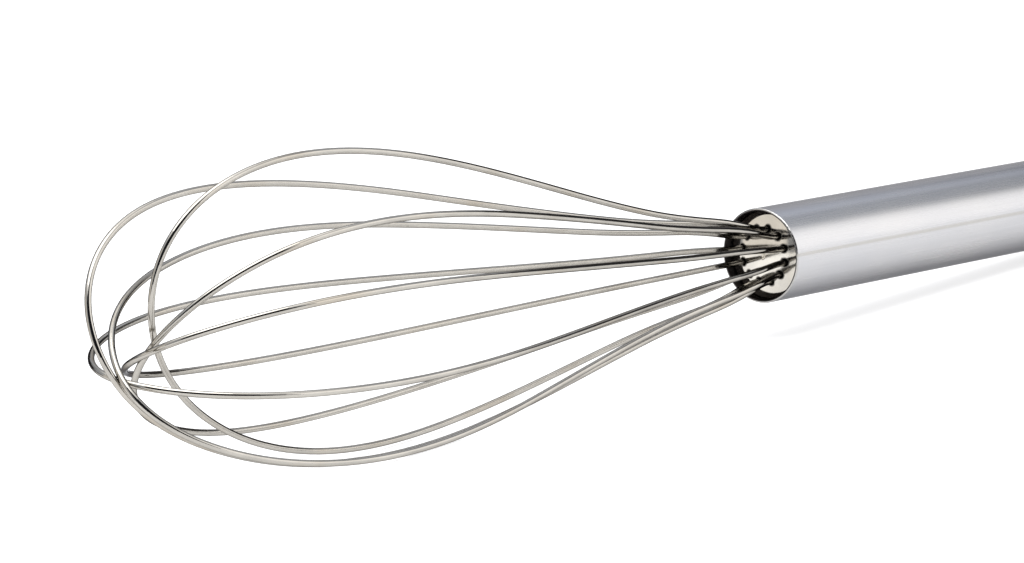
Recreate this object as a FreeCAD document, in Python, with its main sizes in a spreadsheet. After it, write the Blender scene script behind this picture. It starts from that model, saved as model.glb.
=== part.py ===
import FreeCAD, Part
import math
import os

import Sketcher

from FreeCAD import Rotation, Vector

# Balloon whisk, lying at rest on a flat surface.
# Every piece is laid out along the whisk's own axis: local x = 0 is the plane of
# the tube's mouth, +x runs back through the handle, -x runs out to the tip of the
# balloon.  One placement, held in the sheet, then lays the whole whisk down: the
# rear of the handle and two neighbouring wires touch z = 0.
# All lengths are millimetres, all angles degrees.

doc = FreeCAD.newDocument("balloon_whisk")
sheet = doc.addObject("Spreadsheet::Sheet", "dims")

DIMS = [
    # handle tube
    ("tube_dia", 19.0, "outside diameter of the handle tube"),
    ("tube_wall", 0.6, "wall of the tube"),
    ("tube_len", 116.0, "mouth plane to rear edge"),
    ("tube_lip", 0.28, "rounding of the tube's mouth"),
    # pressed plate that carries the wires
    ("plate_depth", 1.077, "mouth plane to the plate's face on the wire circle"),
    ("plate_front", 0.53, "mouth plane to the crown of the plate"),
    ("plate_crown", 26.3266, "radius of the plate's crown"),
    ("plate_thick", 0.9, "sheet thickness of the plate"),
    ("plate_slack", 0.305, "extra thickness in the middle of the plate"),
    ("plate_round", 0.5, "rounding of the plate's edge"),
    ("plate_edge", 2.08, "mouth plane to the plate's face at its rounded edge"),
    ("plate_skirt", 4.2, "mouth plane to the end of the plate's skirt"),
    ("wire_dia", 1.22, "wire of the loops"),
    ("wire_gap", 0.2, "play of a wire in its hole, on radius"),
    ("pitch_rad", 5.448, "radius of the circle of twelve holes"),
    ("tail_end", 31.0, "mouth plane to the cut ends of the wires"),
    # sealing compound and its dam
    ("fill_front", 3.1, "mouth plane to the front of the compound"),
    ("fill_end", 36.0, "mouth plane to the back of the compound"),
    ("dam_thick", 1.2, "thickness of the dam disc"),
    # end cap
    ("cap_dome", 4.0, "rise of the domed cap behind the tube"),
    ("cap_wall", 0.8, "sheet thickness of the cap"),
    ("cap_spigot", 7.0, "length of the cap's skirt inside the tube"),
    ("cap_seat", 4.6, "radius of the flat seat in the middle of the cap"),
    ("cap_round", 4.2, "radius of the dome's shoulder outside"),
    ("cap_inner", 3.4, "and inside"),
    # hanging eye
    ("shank_dia", 3.6, "shank of the eye"),
    ("shank_gap", 0.05, "play of the shank in the cap and washer, on radius"),
    ("shoulder_dia", 5.0, "shoulder of the eye on the cap"),
    ("shoulder_thick", 0.8, "its thickness"),
    ("eye_neck", 3.4, "neck between shoulder and eye"),
    ("washer_dia", 9.0, "washer under the headed shank"),
    ("washer_thick", 1.0, "its thickness"),
    ("head_dia", 5.8, "formed head of the shank"),
    ("head_thick", 1.2, "its thickness"),
    ("eye_thick", 2.6, "thickness of the eye across its hole"),
    ("eye_rad", 3.1, "outside radius of the eye"),
    ("eye_hole", 1.25, "radius of the eye's hole"),
    ("eye_lead", 0.5, "rounding of the hole's edges"),
    ("eye_soft", 0.4, "rounding of the eye's rim"),
    ("eye_reach", 4.8, "cap seat to the centre of the eye's hole"),
    # hanging ring
    ("ring_rad", 7.4, "centre line radius of the ring"),
    ("ring_wire", 1.8, "wire diameter of the ring"),
    ("ring_drop", 29.63, "how far the ring hangs below the handle's axis"),
    # how the whisk lies
    ("lie_tilt", 3.3851, "fall of the axis towards the rear of the handle"),
    ("lie_x", 19.3675, "row x of the mouth's centre"),
    ("lie_y", -0.0315, "row y of the mouth's centre"),
    ("lie_z", 16.3328, "row z of the mouth's centre"),
    ("hole_first", 18.7723, "angle of one of the twelve wire holes about the axis"),
    ("loop_first", 108.7723, "angle of the first loop's first leg"),
]
for row, (name, value, note) in enumerate(DIMS, start=1):
    sheet.set("A%d" % row, name)
    sheet.set("B%d" % row, repr(value))
    sheet.set("C%d" % row, note)
    sheet.setAlias("B%d" % row, name)
doc.recompute()


def dim(name):
    return float(sheet.get(name))


X_AXIS = Vector(1, 0, 0)
Y_AXIS = Vector(0, 1, 0)


def lay(obj, spin=0.0):
    """Bind a piece's placement to the way the whisk lies."""
    obj.Placement = FreeCAD.Placement(Vector(0, 0, 0), Rotation(Y_AXIS, 1.0))
    obj.setExpression("Placement.Base.x", "dims.lie_x")
    obj.setExpression("Placement.Base.y", "dims.lie_y")
    obj.setExpression("Placement.Base.z", "dims.lie_z")
    obj.setExpression("Placement.Rotation.Angle", "dims.lie_tilt")


def body_for(label):
    body = doc.addObject("PartDesign::Body", label)
    body.Label = label
    return body


def origin_item(body, role):
    for item in body.Origin.OriginFeatures:
        if item.Role == role:
            return item
    raise RuntimeError("no %s in %s" % (role, body.Label))


def sketch_on(body, role, name, z_expr=None):
    sk = body.newObject("Sketcher::SketchObject", name)
    sk.AttachmentSupport = [(origin_item(body, role), "")]
    sk.MapMode = "FlatFace"
    if z_expr:
        sk.setExpression("AttachmentOffset.Base.z", z_expr)
    return sk


class Profile:
    """Closed outline in a sketch whose corners are driven by the sheet."""

    def __init__(self, sk):
        self.sk = sk
        self.count = 0

    def pin(self, geo, pos, x, y):
        # x, y: 0 or an expression in the sheet's names
        for value, axis, kind in ((x, -2, "DistanceX"), (y, -1, "DistanceY")):
            if value == 0:
                self.sk.addConstraint(Sketcher.Constraint("PointOnObject", geo, pos, axis))
            else:
                here = self.sk.getPoint(geo, pos)
                size = here.x if kind == "DistanceX" else here.y
                ref = (-1, 1, geo, pos)
                i = self.sk.addConstraint(Sketcher.Constraint(kind, ref[0], ref[1], ref[2], ref[3], size))
                name = "c%d" % self.count
                self.count += 1
                self.sk.renameConstraint(i, name)
                self.sk.setExpression("Constraints." + name, value)


def value_of(text):
    """Numeric value of an expression in the sheet's names."""
    if text == 0:
        return 0.0
    table = {name: dim(name) for name, _, _ in DIMS}
    total = 0.0
    for term in text.replace("-", "+-").split("+"):
        term = term.strip()
        if not term:
            continue
        sign = 1.0
        if term.startswith("-"):
            sign, term = -1.0, term[1:].strip()
        factor = 1.0
        if "/" in term:
            term, div = term.split("/")
            factor = 1.0 / float(div)
        if "*" in term:
            term, mul = term.split("*")
            factor *= float(mul)
        term = term.strip()
        number = table[term[5:]] if term.startswith("dims.") else float(term.replace("mm", ""))
        total += sign * number * factor
    return total


def outline(sk, corners):
    """corners: (x, y) expressions; a third entry is the radius of the arc that
    leads on to the next corner, bulging to the left of the way (L) or right (R);
    a fourth says that the arc's centre lies on the axis, which then sets the
    radius."""
    prof = Profile(sk)
    pts = [Vector(value_of(c[0]), value_of(c[1]), 0) for c in corners]
    n = len(corners)
    geos = []
    for i, corner in enumerate(corners):
        a, b = pts[i], pts[(i + 1) % n]
        if len(corner) > 2:
            rad = value_of(corner[2][1:])
            side = 1 if corner[2][0] == "L" else -1
            mid = (a + b) * 0.5
            chord = b - a
            half = chord.Length / 2
            left = Vector(-chord.y, chord.x, 0).normalize()
            centre = mid - left * side * math.sqrt(rad * rad - half * half)
            top = centre + left * side * rad
            arc = Part.Arc(a, top, b)
            g = sk.addGeometry(arc, False)
            circle = sk.Geometry[g]
            swapped = sk.getPoint(g, 1).distanceToPoint(a) > 1e-6
            geos.append((g, 2 if swapped else 1, 1 if swapped else 2))
            if len(corner) > 3:
                sk.addConstraint(Sketcher.Constraint("PointOnObject", g, 3, -1))
            else:
                k = sk.addConstraint(Sketcher.Constraint("Radius", g, circle.Radius))
                name = "r%d" % g
                sk.renameConstraint(k, name)
                sk.setExpression("Constraints." + name, corner[2][1:])
        else:
            g = sk.addGeometry(Part.LineSegment(a, b), False)
            geos.append((g, 1, 2))
    for i in range(n):
        g, _, end = geos[i]
        g2, start, _ = geos[(i + 1) % n]
        sk.addConstraint(Sketcher.Constraint("Coincident", g, end, g2, start))
    for i, corner in enumerate(corners):
        g, start, _ = geos[i]
        prof.pin(g, start, corner[0], corner[1])


def revolve(body, sk, name):
    rev = body.newObject("PartDesign::Revolution", name)
    rev.Profile = (sk, [""])
    rev.ReferenceAxis = (sk, ["H_Axis"])
    rev.Angle = 360.0
    doc.recompute()
    return rev


def circles(feature):
    """The feature's circular edges, as (name, circle)."""
    out = []
    for i, edge in enumerate(feature.Shape.Edges, start=1):
        if edge.Degenerated:
            continue
        curve = edge.Curve
        if isinstance(curve, Part.Circle):
            out.append(("Edge%d" % i, curve))
    return out


def ring_edges(feature, x, rad, tol=1e-4):
    """Names of the circular edges about the x axis at the given x and radius."""
    names = []
    for name, curve in circles(feature):
        if abs(curve.Radius - rad) < tol and abs(curve.Center.x - x) < tol:
            if math.hypot(curve.Center.y, curve.Center.z) < tol:
                names.append(name)
    if not names:
        raise RuntimeError("no edge at x=%g r=%g on %s" % (x, rad, feature.Name))
    return names


def fillet(body, base, edges, expr, name):
    f = body.newObject("PartDesign::Fillet", name)
    f.Base = (base, edges)
    f.Radius = value_of(expr)
    f.setExpression("Radius", expr)
    body.Tip = f
    doc.recompute()
    return f


def circle_sketch(body, role, name, x, y, rad, z_expr=None):
    sk = sketch_on(body, role, name, z_expr)
    cx, cy = value_of(x) if x else 0.0, value_of(y) if y else 0.0
    g = sk.addGeometry(Part.Circle(Vector(cx, cy, 0), Vector(0, 0, 1), value_of(rad)), False)
    k = sk.addConstraint(Sketcher.Constraint("Radius", g, value_of(rad)))
    sk.renameConstraint(k, "c_rad")
    sk.setExpression("Constraints.c_rad", rad)
    if x == 0 and y == 0:
        sk.addConstraint(Sketcher.Constraint("Coincident", g, 3, -1, 1))
    else:
        Profile(sk).pin(g, 3, x, y)
    return sk


parts = []      # (node name, object)


def hole_circle(body, base, rad, z_expr, tag):
    """Twelve holes through the body from a plane at z_expr towards the mouth."""
    sk = sketch_on(body, "YZ_Plane", tag + "_hole", z_expr)
    ang = math.radians(dim("hole_first"))
    pr = dim("pitch_rad")
    g = sk.addGeometry(Part.Circle(Vector(pr * math.cos(ang), pr * math.sin(ang), 0), Vector(0, 0, 1), value_of(rad)), False)
    for kind, name, val, expr in (
            ("Radius", "c_rad", value_of(rad), rad),
            ("DistanceX", "c_px", pr * math.cos(ang), "dims.pitch_rad * cos(dims.hole_first * 1deg)"),
            ("DistanceY", "c_py", pr * math.sin(ang), "dims.pitch_rad * sin(dims.hole_first * 1deg)")):
        if kind == "Radius":
            k = sk.addConstraint(Sketcher.Constraint(kind, g, val))
        else:
            k = sk.addConstraint(Sketcher.Constraint(kind, -1, 1, g, 3, val))
        sk.renameConstraint(k, name)
        sk.setExpression("Constraints." + name, expr)
    doc.recompute()
    before = body.Shape.Volume
    cut = body.newObject("PartDesign::Pocket", tag + "_bore")
    cut.Profile = (sk, [""])
    cut.Type = "ThroughAll"
    doc.recompute()
    if cut.Shape.isNull() or cut.Shape.Volume > before - 0.1:
        raise RuntimeError("hole cuts nothing in " + body.Label)
    pat = body.newObject("PartDesign::PolarPattern", tag + "_twelve")
    pat.Originals = [cut]
    pat.Axis = (origin_item(body, "X_Axis"), [""])
    pat.Angle = 360.0
    pat.Occurrences = 12
    body.Tip = pat
    doc.recompute()
    return pat


# ---------------------------------------------------------------- handle tube
body = body_for("handle_tube")
sk = sketch_on(body, "XZ_Plane", "tube_profile")
outline(sk, [(0, "dims.tube_dia/2 - dims.tube_wall"),
             ("dims.tube_len", "dims.tube_dia/2 - dims.tube_wall"),
             ("dims.tube_len", "dims.tube_dia/2"),
             (0, "dims.tube_dia/2")])
rev = revolve(body, sk, "tube_turn")
mouth = ring_edges(rev, 0.0, dim("tube_dia") / 2)
inner = ring_edges(rev, 0.0, dim("tube_dia") / 2 - dim("tube_wall"))
fillet(body, rev, mouth + inner, "dims.tube_lip", "tube_mouth")
lay(body)
parts.append(("handle_tube", body))

# ----------------------------------------------------------------- wire plate
# A pressed cup: crowned face towards the wires, rounded edge, short skirt that
# is a press fit in the tube.
body = body_for("wire_plate")
sk = sketch_on(body, "XZ_Plane", "plate_profile")
outline(sk, [("dims.plate_front", 0, "Ldims.plate_crown", "centred"),
             ("dims.plate_edge", "dims.tube_dia/2 - dims.tube_wall"),
             ("dims.plate_skirt", "dims.tube_dia/2 - dims.tube_wall"),
             ("dims.plate_skirt", "dims.tube_dia/2 - dims.tube_wall - dims.plate_thick"),
             ("dims.plate_edge + dims.plate_thick", "dims.tube_dia/2 - dims.tube_wall - dims.plate_thick", "Rdims.plate_crown", "centred"),
             ("dims.plate_front + dims.plate_thick + dims.plate_slack", 0)])
rev = revolve(body, sk, "plate_press")
ro = dim("tube_dia") / 2 - dim("tube_wall")
rim = ring_edges(rev, dim("plate_edge"), ro)
f = fillet(body, rev, rim, "dims.plate_round", "plate_rim")
hole_circle(body, f, "dims.wire_dia/2 + dims.wire_gap", "dims.plate_skirt", "plate")
lay(body)
parts.append(("wire_plate", body))

# --------------------------------------------------------------- potting plug
# Cast behind the plate around the straight tails of the wires.
body = body_for("potting_plug")
sk = sketch_on(body, "XZ_Plane", "plug_profile")
outline(sk, [("dims.fill_front", 0),
             ("dims.fill_end", 0),
             ("dims.fill_end", "dims.tube_dia/2 - dims.tube_wall"),
             ("dims.plate_skirt", "dims.tube_dia/2 - dims.tube_wall"),
             ("dims.plate_skirt", "dims.tube_dia/2 - dims.tube_wall - dims.plate_thick"),
             ("dims.fill_front", "dims.tube_dia/2 - dims.tube_wall - dims.plate_thick")])
rev = revolve(body, sk, "plug_cast")
hole_circle(body, rev, "dims.wire_dia/2", "dims.tail_end", "plug")
lay(body)
parts.append(("potting_plug", body))

# ------------------------------------------------------------------- fill dam
body = body_for("fill_dam")
sk = circle_sketch(body, "YZ_Plane", "dam_disc", 0, 0, "dims.tube_dia/2 - dims.tube_wall", "dims.fill_end")
pad = body.newObject("PartDesign::Pad", "dam_pad")
pad.Profile = (sk, [""])
pad.setExpression("Length", "dims.dam_thick")
doc.recompute()
lay(body)
parts.append(("fill_dam", body))

# -------------------------------------------------------------------- end cap
# Pressed dome, flat seat for the eye, skirt inside the tube.
body = body_for("end_cap")
sk = sketch_on(body, "XZ_Plane", "cap_profile")
outline(sk, [("dims.tube_len + dims.cap_dome - dims.cap_wall", "dims.shank_dia/2 + dims.shank_gap"),
             ("dims.tube_len + dims.cap_dome", "dims.shank_dia/2 + dims.shank_gap"),
             ("dims.tube_len + dims.cap_dome", "dims.cap_seat", "Rdims.cap_round"),
             ("dims.tube_len", "dims.tube_dia/2"),
             ("dims.tube_len", "dims.tube_dia/2 - dims.tube_wall"),
             ("dims.tube_len - dims.cap_spigot", "dims.tube_dia/2 - dims.tube_wall"),
             ("dims.tube_len - dims.cap_spigot", "dims.tube_dia/2 - dims.tube_wall - dims.cap_wall"),
             ("dims.tube_len - dims.cap_dome/8", "dims.tube_dia/2 - dims.tube_wall - dims.cap_wall", "Ldims.cap_inner"),
             ("dims.tube_len + dims.cap_dome - dims.cap_wall", "dims.cap_seat + dims.cap_wall/4")])
rev = revolve(body, sk, "cap_press")
lay(body)
parts.append(("end_cap", body))

# ------------------------------------------------------------------ eye stud
body = body_for("eye_stud")
sk = circle_sketch(body, "XZ_Plane", "eye_disc", "dims.tube_len + dims.cap_dome + dims.eye_reach", 0, "dims.eye_rad")
pad = body.newObject("PartDesign::Pad", "eye_pad")
pad.Profile = (sk, [""])
pad.SideType = "Symmetric"
pad.setExpression("Length", "dims.eye_thick")
doc.recompute()
sk = sketch_on(body, "XZ_Plane", "shank_profile")
BACK = "dims.tube_len + dims.cap_dome - dims.cap_wall - dims.washer_thick"
outline(sk, [(BACK + " - dims.head_thick", 0),
             ("dims.tube_len + dims.cap_dome + dims.eye_reach - dims.eye_rad + dims.eye_thick/4", 0),
             ("dims.tube_len + dims.cap_dome + dims.eye_reach - dims.eye_rad + dims.eye_thick/4", "dims.eye_neck/2"),
             ("dims.tube_len + dims.cap_dome + dims.shoulder_thick", "dims.eye_neck/2"),
             ("dims.tube_len + dims.cap_dome + dims.shoulder_thick", "dims.shoulder_dia/2"),
             ("dims.tube_len + dims.cap_dome", "dims.shoulder_dia/2"),
             ("dims.tube_len + dims.cap_dome", "dims.shank_dia/2"),
             (BACK, "dims.shank_dia/2"),
             (BACK, "dims.head_dia/2"),
             (BACK + " - dims.head_thick/3", "dims.head_dia/2"),
             (BACK + " - dims.head_thick", "dims.head_dia/3")])
rev = revolve(body, sk, "shank_turn")
# the hole that the ring hangs in, with rounded edges
sk = circle_sketch(body, "XZ_Plane", "eye_hole_circle", "dims.tube_len + dims.cap_dome + dims.eye_reach", 0, "dims.eye_hole")
before = body.Shape.Volume
cut = body.newObject("PartDesign::Pocket", "eye_bore")
cut.Profile = (sk, [""])
cut.Type = "ThroughAll"
cut.SideType = "Symmetric"
doc.recompute()
if cut.Shape.Volume > before - 1.0:
    raise RuntimeError("the eye has no hole")
xe = dim("tube_len") + dim("cap_dome") + dim("eye_reach")
names = []
for edge_name, c in circles(cut):
    if abs(c.Center.x - xe) < 1e-4 and abs(c.Center.z) < 1e-4 and abs(c.Radius - dim("eye_hole")) < 1e-4:
        names.append(edge_name)
f = fillet(body, cut, names, "dims.eye_lead", "eye_lead_in")
names = []
for edge_name, c in circles(f):
    if abs(c.Center.x - xe) < 1e-4 and abs(c.Center.z) < 1e-4 and abs(c.Radius - dim("eye_rad")) < 1e-4:
        names.append(edge_name)
fillet(body, f, names, "dims.eye_soft", "eye_outside")
lay(body)
parts.append(("eye_stud", body))

# ----------------------------------------------------------------- eye washer
body = body_for("eye_washer")
sk = sketch_on(body, "XZ_Plane", "washer_profile")
FRONT = "dims.tube_len + dims.cap_dome - dims.cap_wall"
outline(sk, [(FRONT + " - dims.washer_thick", "dims.shank_dia/2 + dims.shank_gap"),
             (FRONT, "dims.shank_dia/2 + dims.shank_gap"),
             (FRONT, "dims.washer_dia/2"),
             (FRONT + " - dims.washer_thick", "dims.washer_dia/2")])
revolve(body, sk, "washer_turn")
lay(body)
parts.append(("eye_washer", body))

# --------------------------------------------------------------- hanging ring
# Centre line passes through the middle of the eye's hole; the far side of the
# ring lies on the same surface as the rest of the whisk.
ring = doc.addObject("Part::Torus", "hang_ring")
ring.Label = "hang_ring"
ring.setExpression("Radius1", "dims.ring_rad")
ring.setExpression("Radius2", "dims.ring_wire / 2")
ring.Placement = FreeCAD.Placement(Vector(0, 0, 0), Rotation(Y_AXIS, 1.0))
EYE = "(dims.tube_len + dims.cap_dome + dims.eye_reach)"
ring.setExpression("Placement.Base.x", "dims.lie_x + %s * cos(dims.lie_tilt * 1deg) + dims.ring_rad * cos((dims.lie_tilt + dims.ring_drop) * 1deg)" % EYE)
ring.setExpression("Placement.Base.y", "dims.lie_y")
ring.setExpression("Placement.Base.z", "dims.lie_z - %s * sin(dims.lie_tilt * 1deg) - dims.ring_rad * sin((dims.lie_tilt + dims.ring_drop) * 1deg)" % EYE)
ring.setExpression("Placement.Rotation.Angle", "dims.lie_tilt + dims.ring_drop")
doc.recompute()
parts.append(("hang_ring", ring))

# ----------------------------------------------------------------- wire loops
# Each loop is one wire: a straight tail in the handle, a bend as it leaves the
# plate, the teardrop, and the same back into the opposite hole.  The tables give
# points of its centre line as (x, distance from the axis within the loop's own
# plane, lean out of that plane); tangent arcs join them.


LOOPS = [
    [
        (-5.02, 6.52, -0.17), (-26.76, 10.77, -0.81), (-47.39, 15.77, -1.48),
        (-70.23, 22.36, -2.33), (-91.25, 28.06, -3.21), (-108.71, 31.68, -3.98),
        (-123.54, 33.26, -4.62), (-135.88, 32.86, -5.10), (-145.88, 30.66, -5.38),
        (-153.54, 27.02, -5.46), (-158.92, 22.29, -5.34), (-162.17, 16.76, -5.03),
        (-163.33, 10.65, -4.55), (-162.36, 4.18, -3.95), (-159.13, -2.33, -3.28),
        (-153.45, -8.57, -2.61), (-145.15, -14.28, -2.04), (-134.48, -18.95, -1.65),
        (-122.23, -22.04, -1.41), (-108.88, -23.35, -1.25), (-93.93, -22.83, -1.10),
        (-76.60, -20.42, -0.94), (-54.46, -15.99, -0.72), (-29.77, -11.03, -0.43),
        (-4.95, -6.50, -0.09),
    ],
    [
        (-4.88, 6.67, -0.10), (-30.94, 12.11, -0.53), (-56.11, 17.53, -0.99),
        (-79.65, 22.53, -1.46), (-98.59, 25.89, -1.88), (-114.51, 27.55, -2.23),
        (-127.89, 27.49, -2.52), (-139.10, 25.77, -2.73), (-148.26, 22.57, -2.87),
        (-155.54, 18.05, -2.93), (-161.01, 12.44, -2.96), (-164.31, 6.43, -2.97),
        (-165.49, 0.53, -2.96), (-164.67, -5.07, -2.91), (-161.81, -10.49, -2.79),
        (-156.56, -15.82, -2.61), (-148.98, -20.49, -2.39), (-139.44, -23.95, -2.16),
        (-128.05, -25.92, -1.93), (-114.53, -26.26, -1.68), (-98.56, -24.95, -1.38),
        (-79.84, -22.05, -1.06), (-57.42, -17.65, -0.72), (-31.71, -12.29, -0.38),
        (-4.90, -6.69, -0.07),
    ],
    [
        (-4.95, 6.41, -0.15), (-29.61, 10.50, -0.77), (-53.41, 14.80, -1.42),
        (-77.49, 19.41, -2.15), (-97.28, 22.69, -2.80), (-113.80, 24.34, -3.35),
        (-127.93, 24.34, -3.75), (-139.99, 22.73, -3.97), (-150.04, 19.64, -3.98),
        (-157.77, 15.42, -3.82), (-163.10, 10.51, -3.55), (-166.07, 5.38, -3.22),
        (-166.96, 0.23, -2.84), (-165.90, -5.01, -2.45), (-162.74, -10.25, -2.08),
        (-157.21, -15.31, -1.73), (-149.36, -19.61, -1.41), (-139.31, -22.70, -1.13),
        (-127.22, -24.29, -0.86), (-113.11, -24.27, -0.64), (-96.68, -22.61, -0.49),
        (-76.78, -19.27, -0.43), (-52.79, -14.64, -0.39), (-28.94, -10.34, -0.27),
        (-4.95, -6.40, -0.06),
    ],
    [
        (-5.23, 6.42, -0.05), (-29.91, 10.41, -0.23), (-53.74, 14.72, -0.35),
        (-78.27, 19.59, -0.38), (-98.76, 23.21, -0.37), (-115.73, 25.06, -0.36),
        (-130.50, 25.17, -0.35), (-143.42, 23.61, -0.29), (-154.11, 20.54, -0.15),
        (-162.46, 16.19, 0.06), (-168.39, 10.94, 0.31), (-172.03, 5.15, 0.57),
        (-173.45, -0.56, 0.82), (-172.79, -5.75, 0.96), (-169.99, -10.78, 0.94),
        (-164.56, -15.78, 0.77), (-156.35, -20.23, 0.48), (-145.70, -23.53, 0.17),
        (-133.11, -25.26, -0.07), (-118.48, -25.33, -0.22), (-101.50, -23.67, -0.26),
        (-81.18, -20.31, -0.20), (-56.14, -15.53, -0.10), (-30.92, -10.92, -0.04),
        (-5.21, -6.50, -0.01),
    ],
    [
        (-5.25, 6.37, 0.04), (-29.26, 10.12, 0.20), (-52.22, 14.35, 0.36),
        (-75.86, 19.55, 0.56), (-97.37, 24.11, 0.72), (-114.41, 26.51, 0.79),
        (-129.60, 27.06, 0.76), (-143.14, 25.80, 0.64), (-154.73, 22.89, 0.42),
        (-163.89, 18.64, 0.12), (-170.03, 13.75, -0.21), (-173.44, 8.63, -0.54),
        (-174.56, 3.36, -0.84), (-173.53, -2.20, -1.07), (-170.16, -8.02, -1.17),
        (-164.22, -13.57, -1.12), (-155.60, -18.38, -0.98), (-144.20, -22.14, -0.82),
        (-130.59, -24.44, -0.70), (-115.60, -25.03, -0.62), (-99.14, -23.86, -0.54),
        (-80.06, -20.89, -0.42), (-55.95, -16.10, -0.27), (-30.41, -11.13, -0.13),
        (-4.75, -6.47, -0.02),
    ],
    [
        (-4.86, 6.36, -0.03), (-30.58, 10.51, -0.19), (-55.70, 15.00, -0.36),
        (-79.43, 19.36, -0.55), (-98.59, 22.01, -0.72), (-115.48, 22.92, -0.87),
        (-130.89, 22.13, -0.99), (-144.87, 19.63, -1.04), (-157.07, 15.59, -0.96),
        (-166.13, 10.69, -0.73), (-172.03, 5.28, -0.42), (-175.47, -0.67, -0.09),
        (-176.72, -7.05, 0.23), (-175.80, -13.28, 0.51), (-172.77, -18.89, 0.70),
        (-167.58, -23.67, 0.82), (-160.17, -27.27, 0.85), (-150.01, -29.43, 0.82),
        (-136.82, -29.84, 0.73), (-120.49, -28.35, 0.60), (-101.09, -25.01, 0.46),
        (-77.50, -19.85, 0.34), (-53.19, -14.61, 0.23), (-29.89, -10.33, 0.13),
        (-5.21, -6.39, 0.03),
    ],
]


def unit(v):
    return v * (1.0 / v.Length)


def tangent_arcs(points, tangents):
    """Two tangent arcs between each pair of points."""
    edges = []
    length = 0.0
    least = 1e9
    for p0, p1, t0, t1 in zip(points[:-1], points[1:], tangents[:-1], tangents[1:]):
        v = p1 - p0
        tt = t0 + t1
        den = 2.0 * (1.0 - t0.dot(t1))
        if den < 1e-9:
            d = v.dot(v) / (2.0 * v.dot(tt))
        else:
            b = v.dot(tt)
            d = (-b + math.sqrt(b * b + den * v.dot(v))) / den
        q0 = p0 + t0 * d
        q1 = p1 - t1 * d
        pm = (q0 + q1) * 0.5
        for a, q, c in ((p0, q0, pm), (pm, q1, p1)):
            mid = (a + c) * 0.5
            cosf = min(1.0, (mid - a).Length / d)
            half = math.acos(cosf)
            if half < 1e-4:
                edges.append(Part.LineSegment(a, c).toShape())
                length += (c - a).Length
            else:
                top = mid + (q - mid) * (cosf / (1.0 + cosf))
                edges.append(Part.Arc(a, top, c).toShape())
                rad = d / math.tan(half)
                length += rad * 2.0 * half
                least = min(least, rad)
    return edges, length, least


def smooth_tangents(points):
    """Unit tangents of the spline through the points, straight at both ends."""
    curve = Part.BSplineCurve()
    curve.interpolate(Points=points, InitialTangent=Vector(-1, 0, 0), FinalTangent=Vector(1, 0, 0))
    out = []
    for p in points:
        out.append(unit(curve.tangent(curve.parameter(p))[0]))
    out[0] = Vector(-1, 0, 0)
    out[-1] = Vector(1, 0, 0)
    return out


for k, rows in enumerate(LOOPS):
    name = "wire_loop_%d" % (k + 1)
    ang = math.radians(dim("loop_first") + 30.0 * k)
    c, s = math.cos(ang), math.sin(ang)
    front = dim("plate_depth") - 0.1
    pr = dim("pitch_rad")
    flat = [(front, pr, 0.0)] + rows + [(front, -pr, 0.0)]
    pts = [Vector(x, r * c - o * s, r * s + o * c) for x, r, o in flat]
    tans = smooth_tangents(pts)
    arcs, length, least = tangent_arcs(pts, tans)
    tail = dim("tail_end")
    first = Vector(tail, pts[0].y, pts[0].z)
    last = Vector(tail, pts[-1].y, pts[-1].z)
    edges = [Part.LineSegment(first, pts[0]).toShape()] + arcs + [Part.LineSegment(pts[-1], last).toShape()]
    length += 2.0 * (tail - front)
    spine = doc.addObject("Part::Feature", name + "_line")
    spine.Shape = Part.Wire(edges)
    section = doc.addObject("Part::Circle", name + "_section")
    section.setExpression("Radius", "dims.wire_dia / 2")
    section.Placement = FreeCAD.Placement(first, Rotation(Vector(0, 0, 1), Vector(-1, 0, 0)))
    doc.recompute()
    sweep = doc.addObject("Part::Sweep", name)
    sweep.Label = name
    sweep.Sections = [section]
    sweep.Spine = (spine, ["Edge%d" % (i + 1) for i in range(len(spine.Shape.Edges))])
    sweep.Solid = True
    sweep.Frenet = False
    sweep.Transition = 1
    doc.recompute()
    lay(sweep)
    doc.recompute()
    want = math.pi * (dim("wire_dia") / 2) ** 2 * length
    print("%s length %.1f mm, least radius %.1f, volume %.2f of %.2f" % (name, length, least, sweep.Shape.Volume, want))
    parts.append((name, sweep))

# -------------------------------------------------------------------- checks
doc.recompute()
problems = []
for obj in doc.Objects:
    if "Invalid" in obj.State or "Error" in obj.State:
        problems.append("%s: %s" % (obj.Label, obj.State))
for name, obj in parts:
    shape = obj.Shape
    if shape.isNull() or not shape.isValid() or len(shape.Solids) != 1 or shape.Volume <= 0:
        problems.append("%s: bad shape (%d solids)" % (name, 0 if shape.isNull() else len(shape.Solids)))
if problems:
    raise RuntimeError("; ".join(problems))

os.makedirs("parts", exist_ok=True)
low = Vector(1e9, 1e9, 1e9)
high = Vector(-1e9, -1e9, -1e9)
for name, obj in parts:
    obj.Shape.exportStep("parts/%s.step" % name)
    box = obj.Shape.optimalBoundingBox(True, False)
    low = Vector(min(low.x, box.XMin), min(low.y, box.YMin), min(low.z, box.ZMin))
    high = Vector(max(high.x, box.XMax), max(high.y, box.YMax), max(high.z, box.ZMax))
print("box", [round(v, 3) for v in low], [round(v, 3) for v in high])
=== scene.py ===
import bpy, math
from mathutils import Matrix, Vector

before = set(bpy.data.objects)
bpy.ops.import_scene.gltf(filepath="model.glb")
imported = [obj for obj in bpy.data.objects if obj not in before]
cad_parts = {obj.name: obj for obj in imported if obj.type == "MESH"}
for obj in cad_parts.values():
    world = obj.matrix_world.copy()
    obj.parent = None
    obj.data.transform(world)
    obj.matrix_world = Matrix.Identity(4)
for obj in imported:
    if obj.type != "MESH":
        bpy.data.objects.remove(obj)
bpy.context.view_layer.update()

scene = bpy.context.scene

# ------------------------------------------------------------------ how it lies
TILT = math.radians(3.3851)          # the axis falls this much towards the ring
MOUTH = (0.0193675, -0.0000315, 0.0163328)     # middle of the tube's mouth


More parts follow.
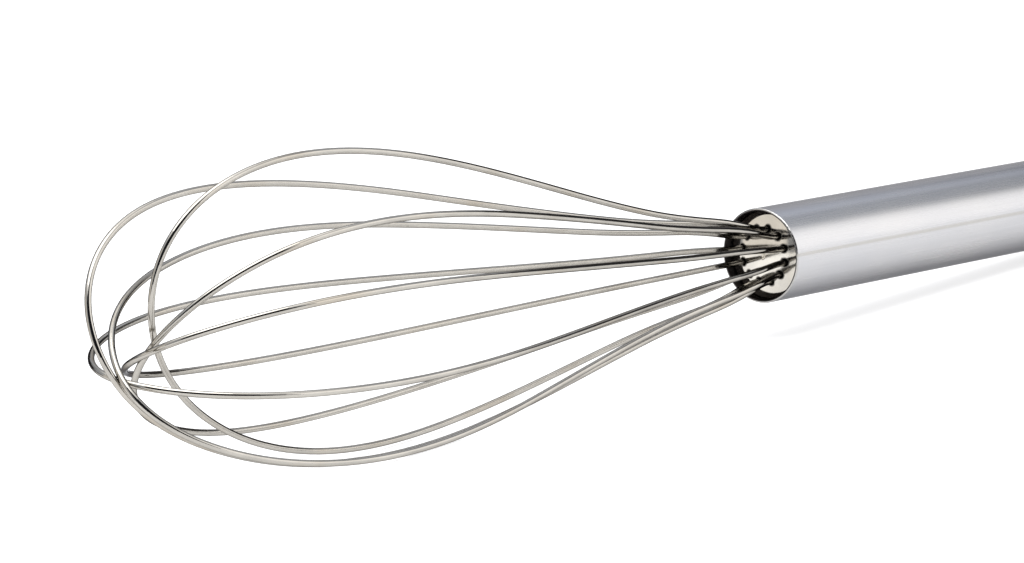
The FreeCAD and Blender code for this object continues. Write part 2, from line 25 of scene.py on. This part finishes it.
# ------------------------------------------------------------------ node helpers
class Graph:
    def __init__(self, name):
        self.mat = bpy.data.materials.new(name)
        self.mat.use_nodes = True
        self.t = self.mat.node_tree
        self.t.nodes.clear()
        self.out = self.t.nodes.new("ShaderNodeOutputMaterial")
        self.bsdf = self.t.nodes.new("ShaderNodeBsdfPrincipled")
        self.t.links.new(self.bsdf.outputs[0], self.out.inputs[0])
        self.coord = self.t.nodes.new("ShaderNodeTexCoord")
        # whisk coordinates: origin at the middle of the tube's mouth, X along its axis
        lay = self.t.nodes.new("ShaderNodeMapping")
        lay.vector_type = "TEXTURE"
        lay.inputs["Location"].default_value = MOUTH
        lay.inputs["Rotation"].default_value = (0.0, TILT, 0.0)
        self.link(self.coord.outputs["Object"], lay.inputs["Vector"])
        self.local = lay.outputs[0]

    def link(self, a, b):
        self.t.links.new(a, b)

    def mapping(self, scale, rot=(0, 0, 0), loc=(0, 0, 0), src=None):
        m = self.t.nodes.new("ShaderNodeMapping")
        m.inputs["Location"].default_value = loc
        m.inputs["Rotation"].default_value = rot
        m.inputs["Scale"].default_value = scale
        self.link(src or self.local, m.inputs["Vector"])
        return m.outputs[0]

    def noise(self, vec, scale, detail=4.0, rough=0.55, dist=0.0):
        n = self.t.nodes.new("ShaderNodeTexNoise")
        n.inputs["Scale"].default_value = scale
        n.inputs["Detail"].default_value = detail
        n.inputs["Roughness"].default_value = rough
        n.inputs["Distortion"].default_value = dist
        self.link(vec, n.inputs["Vector"])
        return n.outputs["Fac"]

    def voronoi(self, vec, scale, feature="F1"):
        n = self.t.nodes.new("ShaderNodeTexVoronoi")
        n.feature = feature
        n.inputs["Scale"].default_value = scale
        self.link(vec, n.inputs["Vector"])
        return n.outputs["Distance"]

    def ramp(self, fac, stops, mode="LINEAR"):
        r = self.t.nodes.new("ShaderNodeValToRGB")
        r.color_ramp.interpolation = mode
        e = r.color_ramp.elements
        while len(e) > 1:
            e.remove(e[-1])
        e[0].position = stops[0][0]
        e[0].color = self.col(stops[0][1])
        for p, c in stops[1:]:
            k = e.new(p)
            k.color = self.col(c)
        self.link(fac, r.inputs[0])
        return r.outputs[0]

    @staticmethod
    def col(c):
        return (c, c, c, 1.0) if isinstance(c, (int, float)) else (c[0], c[1], c[2], 1.0)

    def math(self, op, a, b=0.0, c=None):
        m = self.t.nodes.new("ShaderNodeMath")
        m.operation = op
        for i, v in enumerate((a, b, c)):
            if v is None:
                continue
            if isinstance(v, (int, float)):
                m.inputs[i].default_value = v
            else:
                self.link(v, m.inputs[i])
        return m.outputs[0]

    def mix(self, fac, a, b, kind="MIX"):
        m = self.t.nodes.new("ShaderNodeMix")
        m.data_type = "RGBA"
        m.blend_type = kind
        if isinstance(fac, (int, float)):
            m.inputs[0].default_value = fac
        else:
            self.link(fac, m.inputs[0])
        for v, sock in ((a, m.inputs[6]), (b, m.inputs[7])):
            if isinstance(v, (tuple, list)):
                sock.default_value = self.col(v)
            else:
                self.link(v, sock)
        return m.outputs[2]

    def bump(self, height, strength, distance, normal=None):
        b = self.t.nodes.new("ShaderNodeBump")
        b.inputs["Strength"].default_value = strength
        b.inputs["Distance"].default_value = distance
        self.link(height, b.inputs["Height"])
        if normal is not None:
            self.link(normal, b.inputs["Normal"])
        return b.outputs[0]

    def set(self, name, value):
        self.bsdf.inputs[name].default_value = value

    def wire(self, name, sock):
        self.link(sock, self.bsdf.inputs[name])


# -------------------------------------------------------------------- materials
def smooth(g, x, lo, hi, a=0.0, b=1.0):
    r = g.t.nodes.new("ShaderNodeMapRange")
    r.interpolation_type = "SMOOTHSTEP"
    for i, v in ((1, lo), (2, hi), (3, a), (4, b)):
        r.inputs[i].default_value = v
    g.link(x, r.inputs[0])
    return r.outputs[0]


def axes(g):
    """Distance along the handle, distance from its axis and the angle about it."""
    s = g.t.nodes.new("ShaderNodeSeparateXYZ")
    g.link(g.local, s.inputs[0])
    x, y, z = s.outputs
    r = g.math("SQRT", g.math("ADD", g.math("MULTIPLY", y, y), g.math("MULTIPLY", z, z)))
    return x, r, g.math("ARCTAN2", z, y)


def feet(g, x, r, ang):
    """Distance from the middle of the nearest of the twelve wires where they enter the plate."""
    turn = g.math("WRAP", g.math("SUBTRACT", ang, math.radians(18.9)), math.radians(15.0), math.radians(-15.0))
    dx = g.math("SUBTRACT", r, 0.00545)
    dy = g.math("MULTIPLY", r, turn)
    return g.math("SQRT", g.math("ADD", g.math("MULTIPLY", dx, dx), g.math("MULTIPLY", dy, dy)))


def brushed(name, tint, rough, aniso, painted_gap_angle=None, bore=False):
    """Steel brushed along the whisk: fine lengthwise streaks over a faintly wavy wall.

    The inside of the wall is duller and painted near-black as painted shade, and the mouth's lip is
    painted a darker, warmer grey as painted shade and made a little smoother."""
    g = Graph(name)
    g.set("Metallic", 1.0)
    g.set("Specular Tint", (0.30, 0.30, 0.31, 1.0))
    g.set("Anisotropic", aniso)
    x, r, ang = axes(g)
    fine = g.noise(g.mapping((30.0, 6500.0, 6500.0)), 1.0, 5.0, 0.62)
    wide = g.noise(g.mapping((9.0, 1100.0, 1100.0)), 1.0, 3.0, 0.55)
    cloud = g.noise(g.mapping((42.0, 110.0, 110.0)), 1.0, 3.0, 0.5)
    scuff = g.noise(g.mapping((300.0, 5200.0, 5200.0), rot=(0.5, 0.0, 0.0)), 1.0, 2.0, 0.5)
    both = g.math("ADD", g.math("MULTIPLY", fine, 0.6), g.math("MULTIPLY", wide, 0.4))
    lo = tuple(c * 0.95 for c in tint)
    hi = tuple(min(1.0, c * 1.045) for c in tint)
    colour = g.ramp(both, [(0.30, lo), (0.70, hi)])
    haze = g.ramp(cloud, [(0.35, (0.93, 0.935, 0.95)), (0.68, (1.0, 0.998, 0.992))])
    colour = g.mix(1.0, colour, haze, "MULTIPLY")
    mark = smooth(g, scuff, 0.70, 0.80)
    colour = g.mix(g.math("MULTIPLY", mark, 0.25), colour, tuple(c * 0.7 for c in tint))
    # Painted reflection: a narrow darker, warmer line along the tube at this angle stands for the reflected dark gap
    # between the lit card and the table.
    if painted_gap_angle is not None:
        off = g.math("ABSOLUTE", g.math("WRAP", g.math("SUBTRACT", ang, painted_gap_angle), math.pi, -math.pi))
        line = smooth(g, g.math("ADD", off, g.math("MULTIPLY", wide, 0.012)), 0.018, 0.065, 1.0, 0.0)
        colour = g.mix(g.math("MULTIPLY", line, 0.8), colour, (tint[0] * 0.81, tint[1] * 0.79, tint[2] * 0.74))
    # Painted shade: the last fraction of a millimetre at the mouth's lip is painted a darker, warmer grey, and is
    # made smoother.
    lip_painted_shade = smooth(g, g.math("ADD", x, g.math("MULTIPLY", wide, 0.0004)), 0.0002, 0.0008, 1.0, 0.0)
    colour = g.mix(g.math("MULTIPLY", lip_painted_shade, 0.5), colour, (0.36, 0.345, 0.31))
    # Painted shade: the inside of the tube's wall is painted near-black; it is also made rougher.
    if bore:
        inside = smooth(g, r, 0.00914, 0.00926, 1.0, 0.0)
        colour = g.mix(inside, colour, (0.04, 0.036, 0.036))
    g.wire("Base Color", colour)
    q = g.math("MULTIPLY_ADD", both, 0.11, rough - 0.055)
    q = g.math("MULTIPLY_ADD", cloud, 0.05, q)
    q = g.math("MULTIPLY_ADD", lip_painted_shade, -0.08, q)
    g.wire("Roughness", g.math("MULTIPLY_ADD", inside, 0.22, q) if bore else q)
    tan = g.t.nodes.new("ShaderNodeTangent")
    tan.direction_type = "RADIAL"
    tan.axis = "X"
    g.wire("Tangent", tan.outputs[0])
    wave = g.bump(cloud, 0.5, 0.00004)
    g.wire("Normal", g.bump(g.math("ADD", both, g.math("MULTIPLY", mark, -0.3)), 0.11, 0.00002, wave))
    return g.mat


def polished(name, tint, rough, grain=1.0, stain=(0.80, 0.70, 0.56), foot=None):
    """Bright drawn or pressed steel: faint die lines, small pits and handling marks.

    Round the feet of the wires, on the plate and on the wires where they enter it, the colour is painted near-black
    as painted shade and the surface is rougher."""
    g = Graph(name)
    g.set("Metallic", 1.0)
    g.set("Specular Tint", (0.16, 0.16, 0.17, 1.0))
    fine = g.noise(g.mapping((1700.0, 1700.0, 1700.0)), 1.0, 4.0, 0.6)
    soft = g.noise(g.mapping((120.0, 160.0, 160.0)), 1.0, 3.0, 0.5)
    lines = g.noise(g.mapping((90.0, 7600.0, 7600.0)), 1.0, 3.0, 0.6)
    pits = g.voronoi(g.mapping((900.0, 2600.0, 2600.0)), 1.0)
    lo = tuple(c * 0.86 for c in tint)
    hi = tuple(min(1.0, c * 1.04) for c in tint)
    colour = g.ramp(g.math("ADD", g.math("MULTIPLY", soft, 0.6), g.math("MULTIPLY", lines, 0.4)),
                    [(0.36, lo), (0.62, hi)])
    tea = smooth(g, g.noise(g.mapping((60.0, 90.0, 90.0), loc=(3.1, 1.7, 0.4)), 1.0, 3.0, 0.55), 0.50, 0.72)
    colour = g.mix(g.math("MULTIPLY", tea, 0.35), colour, tuple(a * b for a, b in zip(tint, stain)))
    pit = smooth(g, pits, 0.06, 0.16, 1.0, 0.0)
    colour = g.mix(g.math("MULTIPLY", pit, 0.5), colour, tuple(c * 0.55 for c in tint))
    foot_painted_shade = None
    # Painted shade: a near-black ring round each wire's foot on the plate, and the wires near-black where they enter
    # it.
    if foot is not None:
        x, rad, ang = axes(g)
        if foot == "plate":
            d = g.math("MULTIPLY_ADD", fine, 0.00030, feet(g, x, rad, ang))
            foot_painted_shade = smooth(g, d, 0.00095, 0.00135, 1.0, 0.0)
        else:
            foot_painted_shade = smooth(g, g.math("MULTIPLY_ADD", fine, 0.0004, x), -0.0002, 0.0010)
        colour = g.mix(g.math("MULTIPLY", foot_painted_shade, 0.93), colour, (0.022, 0.020, 0.018))
    g.wire("Base Color", colour)
    r = g.math("MULTIPLY_ADD", fine, 0.07 * grain, rough - 0.035 * grain)
    r = g.math("MULTIPLY_ADD", pit, 0.15, r)
    if foot_painted_shade is not None:
        r = g.math("MULTIPLY_ADD", foot_painted_shade, 0.3, r)
    g.wire("Roughness", g.math("MULTIPLY_ADD", soft, 0.05 * grain, r))
    h = g.math("ADD", g.math("MULTIPLY", fine, 0.4), g.math("MULTIPLY", lines, 0.6))
    h = g.math("SUBTRACT", h, g.math("MULTIPLY", pit, 0.5))
    g.wire("Normal", g.bump(h, 0.14 * grain, 0.00001))
    return g.mat


def filler(name, dark, light):
    """Cast or pressed non-metal, inside the handle."""
    g = Graph(name)
    g.set("Metallic", 0.0)
    n = g.noise(g.mapping((700.0, 700.0, 700.0)), 1.0, 5.0, 0.6)
    v = g.voronoi(g.mapping((1600.0, 1600.0, 1600.0)), 1.0)
    g.wire("Base Color", g.ramp(n, [(0.3, dark), (0.7, light)]))
    g.wire("Roughness", g.math("MULTIPLY_ADD", n, 0.25, 0.5))
    g.wire("Normal", g.bump(g.math("ADD", n, v), 0.3, 0.00006))
    return g.mat


M_TUBE = brushed("tube_brushed_steel", (0.545, 0.542, 0.552), 0.24, 0.5, painted_gap_angle=-3.10, bore=True)
M_CAP = brushed("cap_satin_steel", (0.66, 0.655, 0.65), 0.36, 0.2)
M_PLATE = polished("plate_polished_steel", (0.66, 0.63, 0.575), 0.075, foot="plate")
M_WIRE = polished("wire_bright_steel", (0.45, 0.43, 0.395), 0.055, foot="wire")
M_EYE = polished("eye_bright_steel", (0.54, 0.53, 0.515), 0.14)
M_RING = polished("ring_bright_steel", (0.52, 0.51, 0.49), 0.11)
M_WASHER = polished("washer_plain_steel", (0.55, 0.55, 0.55), 0.3)
M_PLUG = filler("potting_compound", (0.05, 0.045, 0.04), (0.11, 0.10, 0.085))
M_DAM = filler("pressed_fibre", (0.22, 0.15, 0.09), (0.34, 0.25, 0.16))


def dress(node, mat):
    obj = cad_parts[node]
    obj = obj if isinstance(obj, bpy.types.Object) else bpy.data.objects[obj]
    if len(obj.material_slots) == 0:
        obj.data.materials.append(mat)
    for s in obj.material_slots:
        s.material = mat
    return obj


dress("handle_tube", M_TUBE)
dress("end_cap", M_CAP)
dress("wire_plate", M_PLATE)
dress("eye_stud", M_EYE)
dress("hang_ring", M_RING)
dress("eye_washer", M_WASHER)
dress("potting_plug", M_PLUG)
dress("fill_dam", M_DAM)
for i in range(1, 7):
    dress("wire_loop_%d" % i, M_WIRE)

# ------------------------------------------------------------------------- stage
me = bpy.data.meshes.new("floor")
me.from_pydata([(-30, -30, 0), (30, -30, 0), (30, 30, 0), (-30, 30, 0)], [], [(0, 1, 2, 3)])
floor = bpy.data.objects.new("floor", me)
floor.location = (0, 0, -0.0004)
scene.collection.objects.link(floor)
fg = Graph("floor_pale")
fg.set("Roughness", 0.9)
fg.set("Specular IOR Level", 0.1)
fn = fg.noise(fg.mapping((6.0, 6.0, 6.0)), 1.0, 2.0, 0.5)
fg.wire("Base Color", fg.ramp(fn, [(0.3, (0.56, 0.56, 0.562)), (0.7, (0.60, 0.60, 0.60))]))
fg.set("Emission Color", (1.0, 1.0, 1.0, 1.0))       # a light table: lit from below as well
fg.set("Emission Strength", 0.60)
me.materials.append(fg.mat)

# The room is a white tent seen only in reflections: a bright ceiling, tall cards at the
# sides with dark gaps between them, and a grey wall beyond the table.
world = bpy.data.worlds.new("studio")
scene.world = world
world.use_nodes = True


class Sky:
    def __init__(self, tree):
        self.t = tree
        tree.nodes.clear()
        self.out = tree.nodes.new("ShaderNodeOutputWorld")
        self.bg = tree.nodes.new("ShaderNodeBackground")
        self.link(self.bg.outputs[0], self.out.inputs[0])
        tc = tree.nodes.new("ShaderNodeTexCoord")
        sep = tree.nodes.new("ShaderNodeSeparateXYZ")
        self.link(tc.outputs["Generated"], sep.inputs[0])
        x, y, z = sep.outputs
        self.el = self.math("MULTIPLY", self.math("ARCSINE", z), 180.0 / math.pi)
        self.az = self.math("MULTIPLY", self.math("ARCTAN2", y, x), 180.0 / math.pi)

    def link(self, a, b):
        self.t.links.new(a, b)

    math = Graph.math
    mix = Graph.mix
    col = staticmethod(Graph.col)

    def window(self, v, lo, hi, soft):
        a = smooth(self, v, lo - soft, lo + soft)
        b = smooth(self, v, hi - soft, hi + soft, 1.0, 0.0)
        return self.math("MULTIPLY", a, b)

    def card(self, base, az, el, colour, soft=3.0):
        m = self.math("MULTIPLY", self.window(self.az, az[0], az[1], soft), self.window(self.el, el[0], el[1], soft))
        return self.mix(m, base, colour)


sky = Sky(world.node_tree)
wall = sky.mix(smooth(sky, sky.el, 6.0, 24.0), (0.30, 0.31, 0.33), (0.62, 0.65, 0.70))
c = sky.mix(smooth(sky, sky.el, 46.0, 60.0), wall, (1.9, 1.9, 1.9))                   # wall and ceiling
c = sky.card(c, (4.0, 66.0), (29.0, 47.0), (1.10, 1.16, 1.29), 3.0)         # cool light high beyond the table
c = sky.card(c, (24.0, 46.0), (-10.0, 33.0), (1.35, 1.35, 1.36), 2.0)       # backdrop beyond the table
c = sky.card(c, (-22.0, 22.0), (-10.0, 27.0), (0.06, 0.06, 0.065), 2.0)     # dark room right of it
c = sky.card(c, (48.0, 94.0), (-10.0, 30.0), (0.06, 0.06, 0.065), 2.0)      # and left of it
c = sky.card(c, (-80.0, -38.0), (20.0, 46.0), (1.2, 1.19, 1.18), 2.0)       # top of the tall card
c = sky.card(c, (-80.0, -24.0), (-10.0, 31.0), (1.85, 1.83, 1.81), 2.0)     # tall card, right front
c = sky.card(c, (-172.0, -84.0), (-10.0, 50.0), (0.015, 0.015, 0.018), 3.0)  # the dark side behind the camera
c = sky.card(c, (118.0, 168.0), (-10.0, 42.0), (1.04, 1.0, 0.94), 2.0)      # card, left rear
sky.link(c, sky.bg.inputs[0])
sky.bg.inputs[1].default_value = 1.0


def sun(name, az, el, strength, spread, colour=(1, 1, 1)):
    li = bpy.data.lights.new(name, "SUN")
    li.energy = strength
    li.angle = math.radians(spread)
    li.color = colour
    ob = bpy.data.objects.new(name, li)
    a, e = math.radians(az), math.radians(el)
    d = Vector((math.cos(e) * math.cos(a), math.cos(e) * math.sin(a), math.sin(e)))
    ob.rotation_euler = d.to_track_quat("Z", "Y").to_euler()
    ob.location = d * 2.0
    scene.collection.objects.link(ob)
    return ob


sun("overhead_softbox", -138.0, 80.0, 1.1, 50.0, (1.0, 0.995, 0.985))

# ------------------------------------------------------------------------ camera
cam_data = bpy.data.cameras.new("camera")
cam_data.sensor_fit = "HORIZONTAL"
cam_data.sensor_width = 36.0
cam_data.lens = 154.6644
cam_data.clip_start = 0.01
cam_data.clip_end = 200.0
cam = bpy.data.objects.new("camera", cam_data)
scene.collection.objects.link(cam)
right = Vector((0.6593906, -0.735625, -0.1551127))
down = Vector((-0.1808484, 0.0450572, -0.9824784))
fwd = Vector((0.7297245, 0.6758889, -0.1033263))
m = Matrix((right, -down, -fwd)).transposed().to_4x4()
m.translation = Vector((-0.651359, -0.553896, 0.109194))
cam.matrix_world = m
scene.camera = cam

scene.view_settings.view_transform = "Standard"
scene.view_settings.look = "None"
scene.view_settings.exposure = 0.0
